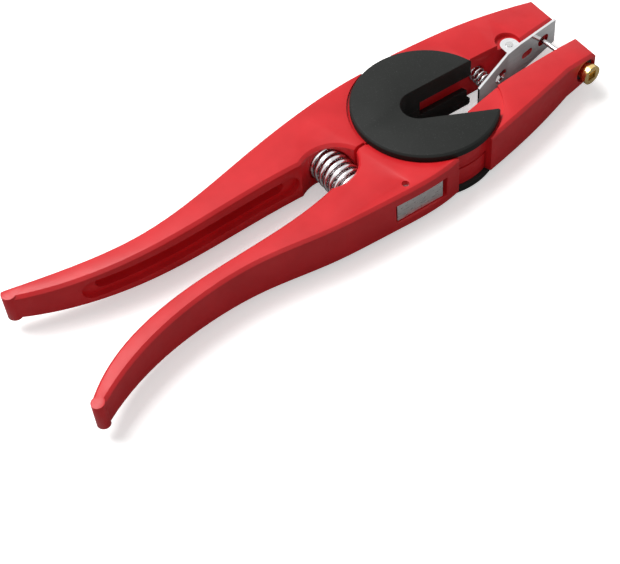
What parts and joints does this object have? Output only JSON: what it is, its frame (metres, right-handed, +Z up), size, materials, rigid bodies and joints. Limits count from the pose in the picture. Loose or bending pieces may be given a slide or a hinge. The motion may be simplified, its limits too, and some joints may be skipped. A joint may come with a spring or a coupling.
{
  "type": "ear tag applicator",
  "caption": "Hand plier for fixing livestock ear tags: two curved handles, round slotted hub, sprung tag clip and a pointed applicator pin.",
  "frame": {"origin": "on the hinge line of the two arms, in the plane that the plier lies on", "axes": "+X along the jaws, away from the handles; +Y towards the jaw with the clip; +Z up, along the hinge line"},
  "size_m": [0.2544, 0.0785, 0.0248],
  "materials": {
    "casting": "gloss",
    "cover": "gloss",
    "washer": "satin",
    "zinc_steel": "satin",
    "spring_steel": "satin",
    "dark_washer": "matte",
    "nut": "satin",
    "clip": "polished"
  },
  "bodies": {
    "clip_arm": {"clip_arm_casting": "casting", "top_cover": "cover", "bottom_cover": "cover", "cover_screws": "zinc_steel", "hub_washer": "washer", "lock_pin": "zinc_steel", "lock_spring": "spring_steel", "main_spring": "spring_steel", "clip_pivot_pin": "zinc_steel", "clip_spring": "spring_steel"},
    "pin_arm": {"pin_arm_casting": "casting", "applicator_pin": "spring_steel", "nut_washer": "dark_washer", "pin_nut": "nut"},
    "clip": {"clip_plate": "clip"},
    "lock": {"lock_plate": "zinc_steel"}
  },
  "joints": [
    {"name": "jaw_hinge", "type": "hinge", "parent": "clip_arm", "child": "pin_arm", "pos_m": [0, 0, 0.0124], "axis": [0, 0, 1], "range_deg": [-28.8, 0], "deforming": ["main_spring"]},
    {"name": "clip_hinge", "type": "hinge", "parent": "clip_arm", "child": "clip", "pos_m": [0.05, 0.0086, 0.0124], "axis": [0, 0, 1], "range_deg": [-12, 0], "stiffness_Nm_per_rad": 0.5, "deforming": ["clip_spring"]},
    {"name": "lock_hinge", "type": "hinge", "parent": "clip_arm", "child": "lock", "pos_m": [-0.031, -0.0289, 0.0124], "axis": [0, 0, 1], "range_deg": [-10, 0], "stiffness_Nm_per_rad": 0.05, "deforming": ["lock_spring"]}
  ]
}
